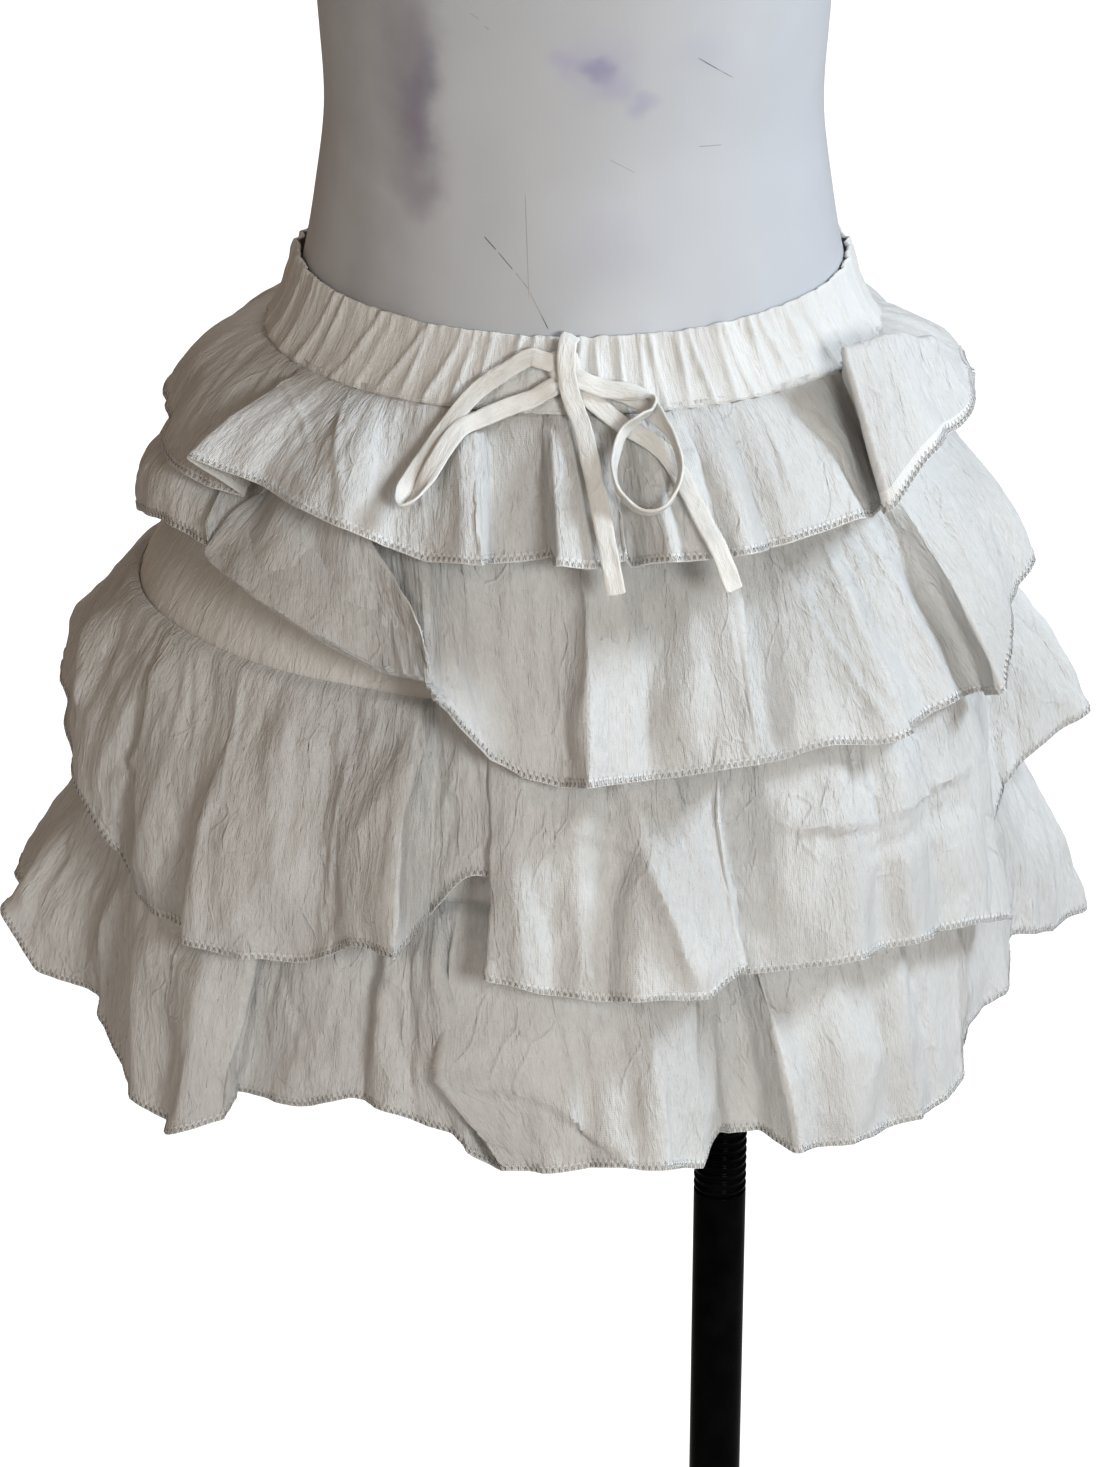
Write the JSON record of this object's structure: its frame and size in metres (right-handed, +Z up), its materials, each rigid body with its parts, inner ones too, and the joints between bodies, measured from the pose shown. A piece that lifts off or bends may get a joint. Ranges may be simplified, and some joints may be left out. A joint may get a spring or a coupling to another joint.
{
  "type": "tiered skort on a limbless dress form",
  "caption": "Tiered ruffle skort with an elastic drawstring waist, worn by a limbless dress form on a pole stand with a round base.",
  "frame": {"origin": "centre of the flat underside of the stand's round base, on the pole's axis", "axes": "+Z up; -Y is the wearer's front; +X is the wearer's left"},
  "size_m": [0.5388, 0.4623, 1.52],
  "materials": {
    "cotton": "matt crinkled cotton",
    "tie": "matt pressed cotton",
    "form": "satin, lightly scuffed",
    "stand": "gloss black"
  },
  "bodies": {
    "root": {"waistband": "cotton", "base_skirt_front": "cotton", "base_skirt_back": "cotton", "tier_1_front": "cotton", "tier_1_back": "cotton", "tier_2_front": "cotton", "tier_2_back": "cotton", "tier_3_front": "cotton", "tier_3_back": "cotton", "tier_4_front": "cotton", "tier_4_back": "cotton", "shorts_right": "cotton", "shorts_left": "cotton", "tie_knot": "tie", "tie_loop_left": "tie", "tie_loop_right": "tie", "tie_tail_front": "tie", "tie_tail_side": "tie", "form_torso": "form", "stand_pole_upper": "stand", "stand_pole_lower": "stand", "stand_thread": "stand", "stand_socket": "stand", "stand_base": "stand"}
  },
  "joints": []
}
